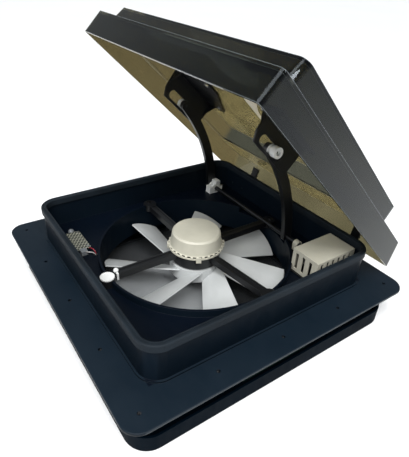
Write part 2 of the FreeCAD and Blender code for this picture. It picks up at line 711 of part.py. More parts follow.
def make_wire(name, *points):
    """A round wire along a hand-set route: straight runs joined by tangent arcs."""
    places = [FreeCAD.Vector(*(float(value) for value in point)) for point in points]
    edges = []
    reached = places[0]
    for before, corner, after in zip(places, places[1:], places[2:]):
        arriving, leaving = corner - before, after - corner
        setback = 0.45 * min(arriving.Length, leaving.Length)
        turn = arriving.getAngle(leaving)
        radius = setback / math.tan(turn / 2)
        into = corner - arriving.normalize() * setback
        out = corner + leaving.normalize() * setback
        inward = (out - corner + into - corner).normalize()
        crown = corner + inward * (radius / math.cos(turn / 2) - radius)
        edges += [Part.makeLine(reached, into), Part.Arc(into, crown, out).toShape()]
        reached = out
        print(f"{name} bends at a radius of {radius:.1f}")
    edges.append(Part.makeLine(reached, places[-1]))
    route = Part.Wire(edges)
    section = Part.Wire(Part.makeCircle(float(d.wire_radius), places[0], places[1] - places[0]))
    wire = route.makePipeShell([section], True, False)
    print(f"{name}: {wire.Volume / (section.Length ** 2 / 4 / math.pi):.1f} long by volume, "
          f"{route.Length:.1f} along its route")
    thing = doc.addObject("Part::Feature", "Wire")
    thing.Shape = wire
    node(name, thing)


def make_sensor_wiring():
    x, y = GROMMET
    plug = rod(d.grommet_radius, (x, y, FLOOR_UNDER), d.floor_thick)
    rim = rod(d.grommet_radius + 0.4, (x, y, d.floor_top), 1.2)
    node("wire_grommet", join(plug, rim))
    top = d.floor_top + 1.2
    make_wire("sensor_wire_red", (SENSOR_HIGH[0], -145.5, 19.8), (-81, -144.2, 22.6),
              (-74.5, -142.4, 22.9), (x - 1, y + 0.7, top))
    make_wire("sensor_wire_grey", (-76, -155, 22), (-71.2, -151.5, 23.6), (-69.2, -146.5, 22.4),
              (x + 0.8, y - 0.7, top))


# ---------------------------------------------------------------- lift gearbox

def make_gearbox():
    x0, y0 = d.gearbox_x, d.gearbox_y
    x1, y1 = x0 + d.gearbox_width, y0 + d.gearbox_length
    plate_top = d.floor_top + d.plate_thick
    clear_of_ring = d.ring_radius + d.ring_wall + d.gap
    rim, rear_rim = 3, 2
    plate = box((x0 - rim, y0 - rim, d.floor_top), (x1 + rim, y1 + rear_rim, plate_top))
    node("gearbox_plate", cut(plate, rod(clear_of_ring, (0, 0, d.floor_top - 1), 4)))
    wall = d.gearbox_wall
    shell = box((x0, y0, plate_top), (x1, y1, d.gearbox_top))
    tools = [box((x0 + wall, y0 + wall, plate_top - 1),
                 (x1 - wall, y1 - wall, d.gearbox_top - wall))]
    slot_low, slot_wide = plate_top + 5, 5.6
    front_slots, front_pitch, side_slots, side_pitch = 3, 13.4, 6, 12
    for number in range(front_slots):
        start = x0 + 6.5 + number * front_pitch
        tools.append(box((start, y0 - 1, slot_low),
                         (start + slot_wide, y0 + wall + 1, d.gearbox_top - 6)))
    for number in range(side_slots):
        start = y0 + 7 + number * side_pitch
        tools.append(box((x1 - wall - 1, start, slot_low),
                         (x1 + 1, start + slot_wide, d.gearbox_top - 4)))
    window = 6
    shaft_window = box((x0 - 1, d.lift_y - window, plate_top - 1),
                       (x0 + wall + 1, d.lift_y + window, d.lift_z + window))
    scallop = rod(clear_of_ring, (0, 0, plate_top - 1), d.ring_top - plate_top + 1.5)
    node("gearbox_cover", cut(shell, *tools, shaft_window, scallop))

    axis_z = d.lift_z + d.worm_height
    can = rod(d.lift_motor_radius, (d.worm_x, y0 + 4, axis_z), d.motor_length, Y_AXIS)
    bore = rod(d.stem_radius + d.fit, (d.worm_x, y0 + 20, axis_z), 12, Y_AXIS)
    node("lift_motor", cut(can, bore))
    half_wide, cradle_start, cradle_end = 7, 8, 22
    cradle = box((d.worm_x - half_wide, y0 + cradle_start, plate_top),
                 (d.worm_x + half_wide, y0 + cradle_end, axis_z))
    trough = rod(d.lift_motor_radius, (d.worm_x, y0 + 4, axis_z), d.motor_length, Y_AXIS)
    node("motor_cradle", cut(cradle, trough))

    worm_start, worm_length, turns, pitch, crest = d.lift_y - 12, 24, 9, 2.4, 1.1
    core = rod(d.worm_radius - 1, (d.worm_x, worm_start, axis_z), worm_length, Y_AXIS)
    threads = [rod(d.worm_radius, (d.worm_x, worm_start + 2 + turn * pitch, axis_z), crest, Y_AXIS)
               for turn in range(turns)]
    stem = rod(d.stem_radius, (d.worm_x, y0 + 21, axis_z), worm_start - y0 - 20, Y_AXIS)
    node("lift_worm", join(core, stem, *threads))

    wide = d.bearing_end - d.bearing_x
    barrel = rod(d.bearing_radius, (d.bearing_x, d.lift_y, d.lift_z), wide, X_AXIS)
    block = box((d.bearing_x, d.lift_y - d.bearing_radius, d.floor_top),
                (d.bearing_end, d.lift_y + d.bearing_radius, d.lift_z + 1))
    bore = rod(d.rod_radius + d.fit, (d.bearing_x - 2, d.lift_y, d.lift_z), wide + 4, X_AXIS)
    node("output_bearing", cut(join(barrel, block), bore))


def make_worm_wheel():
    """A toothed sector keyed to the lift shaft, under the worm."""
    teeth, first_notch, notch_pitch, notch_half, notch_deep = 12, -12, 9.5, 0.55, 1.3
    thick, hub_wall, past, front_cut = 6, 3, 20, 5
    x0 = d.worm_x - thick / 2
    x1 = x0 + thick
    disc = rod(d.wheel_radius, (x0, d.lift_y, d.lift_z), thick, X_AXIS)
    hub = rod(d.rod_radius + hub_wall, (x0, d.lift_y, d.lift_z), thick, X_AXIS)
    lower = box((x0 - 1, d.lift_y - past, d.lift_z - past), (x1 + 1, d.lift_y + past, d.lift_z))
    front = box((x0 - 1, d.lift_y - past, d.lift_z - 1),
                (x1 + 1, d.lift_y - front_cut, d.lift_z + past))
    tools = [lower, front]
    for number in range(teeth):
        notch = box((x0 - 1, -notch_half, d.wheel_radius - notch_deep),
                    (x1 + 1, notch_half, d.wheel_radius + 1))
        as_drawn(notch)
        tilt = FreeCAD.Rotation(X_AXIS, -(first_notch + number * notch_pitch))
        turn = FreeCAD.Placement(FreeCAD.Vector(0, float(d.lift_y), float(d.lift_z)), tilt)
        notch.Placement = turn * notch.Placement
        tools.append(notch)
    bore = rod(d.rod_radius, (x0 - 1, d.lift_y, d.lift_z), thick + 2, X_AXIS)
    node("worm_wheel", cut(join(cut(disc, *tools), hub), bore))


# ---------------------------------------------------------------- lift shaft and arms

def make_shaft():
    """The lift shaft and the lobed clip that holds its far end."""
    node("lift_shaft", rod(d.rod_radius, (SHAFT_LEFT, d.lift_y, d.lift_z),
                           SHAFT_RIGHT - SHAFT_LEFT, X_AXIS))
    x0, x1 = d.clip_x, d.clip_x + d.clip_length
    y, z = d.lift_y, d.lift_z
    foot_top, half_tunnel = d.floor_top + 3, 5
    foot = box((x0, y - d.clip_reach, d.floor_top), (x1, y + d.clip_reach, foot_top))
    front_lobe = box((x0, y - d.clip_reach, d.floor_top), (x1, y - half_tunnel, z + 4))
    rear_lobe = box((x0, y + half_tunnel, d.floor_top), (x1, y + d.clip_reach, z + 2))
    saddle = rod(d.arm_boss + 0.5, (x0, y, z), d.clip_length, X_AXIS)
    snap_block = box((x0, y - 1, z + 2), (x1, y + 9, z + 14))
    bore = rod(d.rod_radius + d.fit, (x0 - 1, y, z), d.clip_length + 2, X_AXIS)
    tunnel = box((x0 - 1, y - half_tunnel, foot_top), (x1 + 1, y + half_tunnel, z - 4.5))
    relief = box((x0 + 4, y - 20, z + 4), (x1 - 4, y - 1, z + 16))
    node("shaft_bearing_clip",
         cut(join(foot, front_lobe, rear_lobe, saddle, snap_block), bore, tunnel, relief))


def arm_tip(angle):
    """The roller's centre at an angle of the arm above the -Y direction."""
    lean = math.radians(float(angle))
    reach = float(d.arm_length)
    return (float(d.lift_y) - reach * math.cos(lean), float(d.lift_z) + reach * math.sin(lean))


def make_arm(name, middle):
    """A curved arm: a sector of a ring with a boss at each end, leaned to the raised pose."""
    length, bulge = float(d.arm_length), float(d.arm_bulge)
    curve = (length * length / 4 + bulge * bulge) / (2 * bulge)
    half_angle = math.degrees(math.asin(length / 2 / curve))
    centre_y = bulge - curve
    pieces = []
    for radius in (curve + float(d.arm_width) / 2, curve - float(d.arm_width) / 2):
        disc = doc.addObject("Part::Cylinder", "Sector")
        disc.Radius = radius
        bind(disc, "Height", d.arm_thick)
        disc.Angle = 2 * half_angle
        face = FreeCAD.Rotation(Z_AXIS, X_AXIS)
        start = FreeCAD.Rotation(Z_AXIS, -half_angle + 90)
        disc.Placement = FreeCAD.Placement(
            FreeCAD.Vector(-float(d.arm_thick) / 2, centre_y, length / 2), face * start)
        pieces.append(disc)
    band = cut(pieces[0], pieces[1])
    foot = rod(d.arm_boss, (-d.arm_thick / 2, 0, 0), d.arm_thick, X_AXIS)
    tip = rod(d.arm_boss, (-d.arm_thick / 2, 0, length), d.arm_thick, X_AXIS)
    shaft_bore = rod(d.rod_radius, (-d.arm_thick, 0, 0), d.arm_thick * 2, X_AXIS)
    pin_bore = rod(d.roller_pin, (-d.arm_thick, 0, length), d.arm_thick * 2, X_AXIS)
    arm = cut(join(band, foot, tip), shaft_bore, pin_bore)
    place(arm, (middle, d.lift_y, d.lift_z), X_AXIS, 90 - float(d.arm_open))
    node(name, arm)


def make_rollers():
    """Each roller: a flange inside the bracket's web, a neck in its slot and a head outside."""
    y, z = arm_tip(d.arm_open)
    flange_thick, play, outer_play, left_head = 1.6, 0.3, 0.6, 3.4
    web_reach = float(d.web_offset) - float(d.arm_thick) / 2 + float(d.web_thick)
    pins = []
    for side, arm, outward in (("right", d.right_arm, 1), ("left", d.left_arm, -1)):
        face = float(arm) + outward * float(d.arm_thick) / 2
        along = FreeCAD.Vector(outward, 0, 0)
        inner = face + outward * play
        web_far = face + outward * web_reach
        head = float(d.roller_end) if side == "right" else left_head
        end = web_far + outward * (outer_play + head)
        flange = rod(d.roller_radius, (inner, y, z), flange_thick, along)
        neck = rod(d.roller_neck, (inner, y, z), abs(web_far - inner) + 1, along)
        outer = rod(d.roller_radius, (web_far + outward * outer_play, y, z), head, along)
        tools = [rod(d.roller_pin + d.fit, (inner - outward, y, z), 40, along)]
        start = float(arm) - outward * float(d.arm_thick) / 2
        if side == "right":
            end -= outward * float(d.roller_cup_deep)
            tools.append(rod(d.roller_cup, (end, y, z), d.roller_cup_deep + 1, along))
        node(f"{side}_roller", cut(join(flange, neck, outer), *tools))
        pins.append(rod(d.roller_pin, (start, y, z), abs(end - start), along))
    node("roller_pins", group(*pins))


# ---------------------------------------------------------------- lid

def raise_with_lid(thing):
    """Swing a piece that is drawn in the closed lid up to the raised pose."""
    as_drawn(thing)
    swing = FreeCAD.Placement(
        FreeCAD.Vector(), FreeCAD.Rotation(X_AXIS, -float(d.lid_open)),
        FreeCAD.Vector(0, float(d.hinge_y), float(d.hinge_z)))
    thing.Placement = swing * thing.Placement
    return thing


def on_lid(along, up):
    """A place in the closed lid, from its rear lip forwards and up from its lip."""
    return (d.lid_lip_y - along, d.lid_lip_z + up)


def rear_wall(up, depth):
    """A place at a depth behind the outer face of the lid's sloping rear wall."""
    slope = float(d.lid_slope / d.lid_low)
    return on_lid(depth * math.hypot(1, slope) + float(up) * slope, up)


def rear_rivets(radius, reach):
    """Rods square to the rear wall, from its outer face inwards; a reach below 0 goes outwards."""
    slope = float(d.lid_slope / d.lid_low)
    inward = FreeCAD.Vector(0, -1, -slope)
    y, z = rear_wall(d.rivet_rise, 0)
    direction = inward if reach > 0 else -inward
    return [rod(radius, (float(d.hinge_x) * side, y, z), abs(reach), direction)
            for side in (1, -1)]


def lid_tier(outline, width, corner):
    """One solid tier: a side outline pulled across, with its upright corners rounded."""
    body = new_body()
    sketch = sketch_on(body, "YZ_Plane")
    draw_outline(sketch, outline)
    pad(body, sketch, width, both=True)
    half = float(width) / 2
    round_edges(body, corner, lambda edge: edge.XLength < 0.01
                and abs(abs(edge.XMin) - half) < 0.01 and edge.ZLength > 8)
    return body


def make_lid():
    rise = d.lid_low + d.lid_high
    wall = d.lid_wall
    low_outer = lid_tier([on_lid(0, 0), on_lid(d.lid_length, 0), on_lid(d.lid_length, d.lid_low),
                          on_lid(d.lid_slope, d.lid_low)], d.lid_width, 7)
    high_outer = lid_tier([on_lid(d.lid_high_rear - 2, d.lid_low - 4),
                           on_lid(d.lid_high_front + 2, d.lid_low - 4),
                           on_lid(d.lid_high_front - 2, rise), on_lid(d.lid_high_rear + 2, rise)],
                          d.lid_high_width, 11)
    low_inner = lid_tier([rear_wall(-1, float(wall)), on_lid(d.lid_length - wall, -1),
                          on_lid(d.lid_length - wall, d.lid_low - wall),
                          rear_wall(d.lid_low - wall, float(wall))],
                         d.lid_width - wall * 2, 4)
    high_inner = lid_tier([on_lid(d.lid_high_rear + wall - 2, d.lid_low - 8),
                           on_lid(d.lid_high_front - wall + 2, d.lid_low - 8),
                           on_lid(d.lid_high_front - wall - 2, rise - wall),
                           on_lid(d.lid_high_rear + wall + 2, rise - wall)],
                          d.lid_high_width - wall * 2, 8)
    holes = rear_rivets(d.screw_radius, float(wall) + 1)
    dome = cut(join(low_outer, high_outer), low_inner, high_inner, *holes)
    node("lid_dome", raise_with_lid(dome))


def make_bracket(side, inner_face, outward, flange_in, flange_out, flange_rear):
    """A slotted web under the lid's roof, on a foot that is screwed to the lid.

    The foot runs across the lid from flange_in to flange_out, or to flange_rear at its hinge end.
    """
    body = new_body()
    roof = d.lid_low + d.lid_high - d.lid_wall
    rear, front = d.bracket_rear, d.bracket_front
    web = sketch_on(body, "YZ_Plane", inner_face)
    draw_outline(web, [on_lid(rear, roof), on_lid(rear, d.bracket_low + 2),
                       on_lid(rear + 4, d.bracket_low), on_lid(front - 12, d.bracket_low),
                       on_lid(front - 4, d.bracket_low + 14), on_lid(front, roof)])
    pad(body, web, d.web_thick, back=outward < 0)
    foot_level = d.lid_lip_z + roof - d.bracket_foot
    foot = sketch_on(body, "XY_Plane", foot_level)
    y0, y1 = on_lid(front, 0)[0], on_lid(rear, 0)[0]
    knee = y0 + (y1 - y0) * 0.34
    draw_outline(foot, [(flange_in, y0), (flange_out, y0), (flange_out, knee),
                        (flange_rear, y1), (flange_in, y1)])
    pad(body, foot, d.bracket_foot)
    web_x = as_size(inner_face)
    reach = -outward * d.gusset_reach
    gusset_thick, screw_depth, from_side, from_end, from_web = 2.5, 4, 5, 12, 6
    for place_y in (y1 - 3, y0 + 6):
        gusset = sketch_on(body, "XZ_Plane", -place_y)
        draw_outline(gusset, [(web_x, foot_level), (web_x + reach, foot_level),
                              (web_x, foot_level - d.gusset_drop)])
        pad(body, gusset, gusset_thick)
    ends = []
    for lid_turn, arm_turn in ((0, d.arm_closed), (d.lid_open, d.arm_open)):
        y, z = arm_tip(arm_turn)
        lean = math.radians(float(lid_turn))
        y, z = y - float(d.hinge_y), z - float(d.hinge_z)
        ends.append((float(d.hinge_y) + y * math.cos(lean) - z * math.sin(lean),
                     float(d.hinge_z) + y * math.sin(lean) + z * math.cos(lean)))
    level_of_slot = (ends[0][1] + ends[1][1]) / 2 - 0.5
    slot = sketch_on(body, "YZ_Plane", inner_face)
    nearest, furthest = sorted(end[0] for end in ends)
    draw_slot(slot, (nearest - 1, level_of_slot), (furthest + d.slot_spare, level_of_slot),
              d.slot_width / 2)
    pocket(body, slot, d.web_thick * 2 + 2, both=True)
    holes = sketch_on(body, "XY_Plane", d.lid_lip_z + roof)
    spots = [(flange_in + from_side, y0 + from_end), (flange_in + from_side, y1 - from_end),
             (flange_out - from_side, y0 + from_end), (flange_rear - from_side, y1 - from_end)]
    spots = [spot for spot in spots if abs(float(spot[0]) - float(web_x)) > from_web]
    for spot in spots:
        draw_circle(holes, spot, d.screw_radius)
    pocket(body, holes, screw_depth)
    node(f"{side}_lid_bracket", raise_with_lid(body))
    return [screw((x, y, d.lid_lip_z + roof - screw_depth), Z_AXIS, screw_depth)
            for x, y in spots]


def make_brackets():
    screws = make_bracket("right", float(d.right_arm + d.web_offset), 1,
                          as_size(36), as_size(84), as_size(84))
    screws += make_bracket("left", float(d.left_arm - d.web_offset), -1,
                           as_size(-176), as_size(-92), as_size(-134))
    node("bracket_screws", raise_with_lid(group(*screws)))


# ---------------------------------------------------------------- hinge

def make_hinge(side, sign):
    """Two ears screwed to the upstand, and the leaf between them that is riveted to the lid."""
    x = float(d.hinge_x) * sign
    half = float(d.knuckle_width) / 2
    wall_y = d.upstand_side / 2
    foot_margin = 12
    foot = box((x - half - foot_margin, wall_y, FLANGE_TOP + d.plinth_height + d.gap),
               (x + half + foot_margin, wall_y + d.ear_foot, d.ear_foot_top))
    pieces = [foot]
    for start in (x - half - float(d.ear_thick) - float(d.gap), x + half + float(d.gap)):
        pieces.append(rod(d.ear_radius, (start, d.hinge_y, d.hinge_z), d.ear_thick, X_AXIS))
        pieces.append(box((start, wall_y, d.hinge_z - d.ear_radius),
                          (start + d.ear_thick, d.hinge_y, d.hinge_z + d.ear_radius)))
    bore = rod(d.pin_radius, (x - 30, d.hinge_y, d.hinge_z), 60, X_AXIS)
    drills = [rod(d.screw_radius, (x + step, wall_y - 1, d.ear_screw_z), d.ear_foot + 2, Y_AXIS)
              for step in (-EAR_SCREW_REACH, EAR_SCREW_REACH)]
    node(f"{side}_hinge_ears", cut(join(*pieces), bore, *drills))

    leaf = new_body()
    sketch = sketch_on(leaf, "YZ_Plane", x)
    near = float(d.lid_wall) + 0.2
    far = near + float(d.leaf_thick) * 0.88
    knee, skew = 2.7, 1.9
    end = float(d.leaf_rise) + knee
    draw_outline(sketch, [(d.hinge_y - 5.2, d.hinge_z - 1), rear_wall(knee - skew, far),
                          rear_wall(end - skew, far), rear_wall(end, near),
                          rear_wall(knee, near), (d.hinge_y + 5.6, d.hinge_z + 1)])
    pad(leaf, sketch, d.knuckle_width, both=True)
    knuckle = sketch_on(leaf, "YZ_Plane", x)
    draw_circle(knuckle, (d.hinge_y, d.hinge_z), d.knuckle_radius)
    pad(leaf, knuckle, d.knuckle_width, both=True)
    eye = sketch_on(leaf, "YZ_Plane", x)
    draw_circle(eye, (d.hinge_y, d.hinge_z), d.pin_radius + d.fit)
    pocket(leaf, eye, d.knuckle_width * 2, both=True)
    drill = rear_rivets(d.screw_radius, float(d.leaf_thick) * 2)[0 if sign > 0 else 1]
    node(f"{side}_hinge_leaf", raise_with_lid(cut(leaf, drill)))


def make_hinges():
    for side, sign in (("right", 1), ("left", -1)):
        make_hinge(side, sign)
    length = d.knuckle_width + d.ear_thick * 2 + d.gap * 2
    pins = [rod(d.pin_radius, (float(d.hinge_x) * sign - float(length) / 2, d.hinge_y, d.hinge_z),
                length, X_AXIS) for sign in (1, -1)]
    node("hinge_pins", group(*pins))
    head_y = d.upstand_side / 2 + d.ear_foot
    screws = [screw((d.hinge_x * sign + step, head_y, d.ear_screw_z), -Y_AXIS,
                    d.ear_foot + d.upstand_wall)
              for sign in (1, -1) for step in (-EAR_SCREW_REACH, EAR_SCREW_REACH)]
    node("hinge_screws", group(*screws))
    shanks = rear_rivets(d.screw_radius, float(d.lid_wall) + float(d.leaf_thick) - 0.3)
    rivet_head = 1.2
    heads = rear_rivets(d.head_radius, -rivet_head)
    rivets = [join(shank, head) for shank, head in zip(shanks, heads)]
    node("leaf_rivets", raise_with_lid(group(*rivets)))


# ---------------------------------------------------------------- ceiling trim

def make_trim():
    """A tray on the ceiling, open above and below, with a neck that goes up into the throat."""
    body = new_body()
    outline = sketch_on(body, "XY_Plane", d.trim_bottom)
    draw_rounded(outline, d.trim_side, d.trim_side, d.trim_corner)
    pad(body, outline, d.trim_top - d.trim_bottom)
    round_edges(body, 2.5, level(d.trim_bottom))
    inner = d.trim_side - d.trim_wall * 2
    corner = d.trim_corner - d.trim_wall
    below = sketch_on(body, "XY_Plane", d.trim_bottom)
    draw_rounded(below, inner, inner, corner)
    pocket(body, below, d.face_level - d.trim_bottom, back=True)
    above = sketch_on(body, "XY_Plane", d.trim_top)
    draw_rounded(above, inner, inner, corner)
    pocket(body, above, d.trim_top - d.face_level - d.face_thick)
    neck = sketch_on(body, "XY_Plane", d.face_level)
    neck_corner = 16
    draw_rounded(neck, d.neck_side, d.neck_side, neck_corner)
    pad(body, neck, d.neck_top - d.face_level)
    opening = sketch_on(body, "XY_Plane", d.neck_top)
    inner = d.neck_side - d.trim_wall * 2
    draw_rounded(opening, inner, inner, neck_corner - d.trim_wall)
    pocket(body, opening, d.neck_top - d.face_level + 1)
    for role in ("XZ_Plane", "YZ_Plane"):
        sides = sketch_on(body, role)
        draw_circle(sides, (0, TRIM_SCREW_LEVEL), d.screw_radius)
        pocket(body, sides, d.flange_side, both=True)
    stems = sketch_on(body, "XY_Plane", d.face_level + d.face_thick)
    for y in BUTTON_PLACES:
        draw_circle(stems, (d.keypad_x, y), d.stem_hole)
    pocket(body, stems, d.face_thick)
    return node("ceiling_trim", body)


def make_trim_screws():
    inside = float(d.neck_side) / 2 - float(d.trim_wall)
    length = float(d.throat_side - d.neck_side) / 2 + float(d.trim_wall)
    screws = []
    for quarter in range(4):
        along = FreeCAD.Vector(*turned(1, quarter * 90))
        start = turned(inside, quarter * 90, TRIM_SCREW_LEVEL)
        screws.append(screw(start, along, length))
    node("trim_screws", group(*screws))


def make_screen():
    """A frame inside the neck's foot, and the net that lies on it."""
    frame = new_body()
    side = d.neck_side - d.trim_wall * 2
    clear = side - d.frame_wide * 2
    net_side, net_thick = side - 4, 0.8
    frame_foot = d.face_level + d.face_thick
    ring = sketch_on(frame, "XY_Plane", frame_foot)
    draw_rounded(ring, side, side, 13)
    draw_rounded(ring, clear, clear, 8)
    pad(frame, ring, d.frame_tall)
    node("screen_frame", frame)
    net = new_body()
    sheet_of_net = sketch_on(net, "XY_Plane", frame_foot + d.frame_tall)
    draw_rounded(sheet_of_net, net_side, net_side, 10)
    pad(net, sheet_of_net, net_thick)
    node("insect_screen", net)


def make_keypad():
    """A panel under the trim's face, four keys through it, and their board above the face."""
    panel_half, half_wide, panel_thick = d.button_pitch * 2 + 6, 14, 3
    board_half_wide, board_thick = 12, 1.6
    key_tall, key_stands_out, stem_radius = 4, 3.5, 2
    low = d.face_level - panel_thick
    panel = box((d.keypad_x - half_wide, -panel_half, low),
                (d.keypad_x + half_wide, panel_half, d.face_level))
    holes = [rod(d.button_radius + d.button_gap, (d.keypad_x, y, low - 1), panel_thick + 2)
             for y in BUTTON_PLACES]
    node("keypad_bezel", cut(panel, *holes))
    board_foot = d.face_level + d.face_thick
    node("keypad_board", box((d.keypad_x - board_half_wide, -panel_half, board_foot),
                             (d.keypad_x + board_half_wide, panel_half, board_foot + board_thick)))
    for name, y in zip(BUTTON_NAMES, BUTTON_PLACES):
        cap = rod(d.button_radius, (d.keypad_x, y, low - key_stands_out), key_tall)
        stem = rod(stem_radius, (d.keypad_x, y, low), 4.6)
        node(f"{name}_button", join(cap, stem))


# ---------------------------------------------------------------- build, test and write

make_base()
make_gasket()
make_edging()
make_cross()
make_cross_fixings()
make_motor()
make_motor_cap()
make_fan()
make_sensor()
make_sensor_wiring()
make_gearbox()
make_worm_wheel()
make_shaft()
make_arm("right_lift_arm", d.right_arm)
make_arm("left_lift_arm", d.left_arm)
make_rollers()
make_lid()
make_brackets()
make_hinges()
make_trim()
make_trim_screws()
make_screen()
make_keypad()
doc.recompute()

for thing in doc.Objects:
    if "Invalid" in thing.State or "Error" in thing.State:
        raise RuntimeError(f"{thing.Name} ({thing.Label}) failed: {thing.State}")
os.makedirs("parts", exist_ok=True)
for name, thing in NODES.items():
    shape = thing.Shape
    if shape.isNull() or not shape.isValid():
        raise RuntimeError(f"{name} has no valid shape")
    shape.exportStep(f"parts/{name}.step")
    spread = shape.BoundBox
    print(f"{name}: {len(shape.Solids)} solids, {shape.Volume:.0f} mm3, "
          f"z {spread.ZMin:.1f} to {spread.ZMax:.1f}")
print(len(NODES), "nodes written")
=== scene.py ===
import math

import bpy
from mathutils import Matrix, Vector


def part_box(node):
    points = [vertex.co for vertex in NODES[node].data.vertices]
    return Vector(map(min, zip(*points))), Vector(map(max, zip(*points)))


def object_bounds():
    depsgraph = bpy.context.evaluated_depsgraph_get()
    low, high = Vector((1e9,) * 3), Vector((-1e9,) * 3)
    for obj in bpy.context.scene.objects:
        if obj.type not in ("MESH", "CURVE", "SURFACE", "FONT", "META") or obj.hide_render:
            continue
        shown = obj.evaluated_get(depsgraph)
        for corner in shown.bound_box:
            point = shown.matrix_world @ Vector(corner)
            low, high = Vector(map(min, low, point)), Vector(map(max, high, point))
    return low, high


# The looks of a powered roof vent: finishes for its CAD nodes, soft edges, floor, lights and camera.
# Metres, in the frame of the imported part: +Z up, the roof's outer surface at z = 0.

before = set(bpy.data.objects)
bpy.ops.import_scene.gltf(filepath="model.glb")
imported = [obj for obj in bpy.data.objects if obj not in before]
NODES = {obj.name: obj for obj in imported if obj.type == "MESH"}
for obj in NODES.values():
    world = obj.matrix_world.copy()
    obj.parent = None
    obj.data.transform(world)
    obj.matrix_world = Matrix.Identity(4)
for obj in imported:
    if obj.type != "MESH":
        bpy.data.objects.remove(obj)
CAD_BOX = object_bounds()
MM = 0.001
LID_ANGLE = math.radians(44)
LID_UP = (0, math.sin(LID_ANGLE), math.cos(LID_ANGLE))
FLANGE_REACH = 234.3 * MM       # from the middle to just inside the flange's rim
UPSTAND_REACH = 185 * MM        # from the middle to just inside the upstand's wall


# ---------------------------------------------------------------- node helpers

class Finish:
    """A material with one Principled shader, and the few node patterns that the finishes share."""

    def __init__(self, name, colour, roughness, **sockets):
        self.material = bpy.data.materials.new(name)
        self.material.use_nodes = True
        self.tree = self.material.node_tree
        self.shader = self.tree.nodes["Principled BSDF"]
        self.place = self.tree.nodes.new("ShaderNodeTexCoord").outputs["Object"]
        self.shader.inputs["Base Color"].default_value = (*colour, 1)
        self.shader.inputs["Roughness"].default_value = roughness
        for socket, value in sockets.items():
            self.shader.inputs[socket.replace("_", " ")].default_value = value

    def link(self, source, target):
        self.tree.links.new(source, target)

    def add(self, kind, **settings):
        made = self.tree.nodes.new(kind)
        for setting, value in settings.items():
            setattr(made, setting, value)
        return made

    def noise(self, size, detail=3.0, stretch=None):
        """Noise whose blotches are about size metres across; stretch scales the axes."""
        texture = self.add("ShaderNodeTexNoise")
        texture.inputs["Scale"].default_value = 1 / size
        texture.inputs["Detail"].default_value = detail
        place = self.place
        if stretch:
            mapping = self.add("ShaderNodeMapping")
            mapping.inputs["Scale"].default_value = stretch
            self.link(place, mapping.inputs["Vector"])
            place = mapping.outputs["Vector"]
        self.link(place, texture.inputs["Vector"])
        return texture.outputs["Fac"]

    def ramp(self, source, low, high, start=0.3, end=0.7):
        """Turns a 0 to 1 pattern into a blend between two colours."""
        ramp = self.add("ShaderNodeValToRGB")
        ramp.color_ramp.elements[0].position = start
        ramp.color_ramp.elements[0].color = (*low, 1)
        ramp.color_ramp.elements[1].position = end
        ramp.color_ramp.elements[1].color = (*high, 1)
        self.link(source, ramp.inputs["Fac"])
        return ramp.outputs["Color"]

    def spread(self, source, low, high):
        """Turns a 0 to 1 pattern into a number from low to high."""
        spread = self.add("ShaderNodeMapRange")
        spread.inputs["From Min"].default_value = 0.3
        spread.inputs["From Max"].default_value = 0.7
        spread.inputs["To Min"].default_value = low
        spread.inputs["To Max"].default_value = high
        self.link(source, spread.inputs["Value"])
        return spread.outputs["Result"]

    def colour_from(self, colour):
        self.link(colour, self.shader.inputs["Base Color"])

    def roughness_from(self, number):
        self.link(number, self.shader.inputs["Roughness"])

    def soften_edges(self, radius):
        """Shades sharp edges as if rounded, so that they catch the light as moulded edges do.

        Returns a mask that is 1 on the edges themselves.
        """
        bevel = self.add("ShaderNodeBevel")
        bevel.samples = 6
        bevel.inputs["Radius"].default_value = radius
        self.link(bevel.outputs["Normal"], self.shader.inputs["Normal"])
        true_normal = self.add("ShaderNodeNewGeometry").outputs["Normal"]
        dot = self.add("ShaderNodeVectorMath", operation="DOT_PRODUCT")
        self.link(bevel.outputs["Normal"], dot.inputs[0])
        self.link(true_normal, dot.inputs[1])
        return self.fade(dot.outputs["Value"], 0.98, 0.85)

    def bump(self, height, strength, distance):
        """Raises the surface by a pattern; a second call adds to the first."""
        bump = self.add("ShaderNodeBump")
        bump.inputs["Strength"].default_value = strength
        bump.inputs["Distance"].default_value = distance
        self.link(height, bump.inputs["Height"])
        earlier = self.shader.inputs["Normal"].links
        if earlier:
            self.link(earlier[0].from_socket, bump.inputs["Normal"])
        self.link(bump.outputs["Normal"], self.shader.inputs["Normal"])

    def lines(self, pitch, direction, angle=0.0):
        """A band pattern, 0 to 1, repeating every pitch metres along X or Y after a turn about Z."""
        mapping = self.add("ShaderNodeMapping")
        mapping.inputs["Rotation"].default_value = (0, 0, math.radians(angle))
        self.link(self.place, mapping.inputs["Vector"])
        wave = self.add("ShaderNodeTexWave", bands_direction=direction)
        wave.inputs["Scale"].default_value = math.tau / 20 / pitch
        self.link(mapping.outputs["Vector"], wave.inputs["Vector"])
        return wave.outputs["Fac"]

    def math(self, operation, *values):
        made = self.add("ShaderNodeMath", operation=operation)
        for socket, value in zip(made.inputs, values):
            if isinstance(value, float):
                socket.default_value = value
            else:
                self.link(value, socket)
        return made.outputs["Value"]

    def larger(self, first, second):
        return self.math("MAXIMUM", first, second)

    def facing(self, direction):
        """1 where the surface faces along the direction, either way, 0 where it is edge on."""
        texture = self.add("ShaderNodeTexCoord")
        dot = self.add("ShaderNodeVectorMath", operation="DOT_PRODUCT")
        dot.inputs[1].default_value = direction
        self.link(texture.outputs["Normal"], dot.inputs[0])
        return self.math("ABSOLUTE", dot.outputs["Value"])

    def fade(self, value, start, end):
        """0 where the value is at start, 1 where it is at end, and even in between."""
        fade = self.add("ShaderNodeMapRange")
        fade.inputs["From Min"].default_value = start
        fade.inputs["From Max"].default_value = end
        self.link(value, fade.inputs["Value"])
        return fade.outputs["Result"]

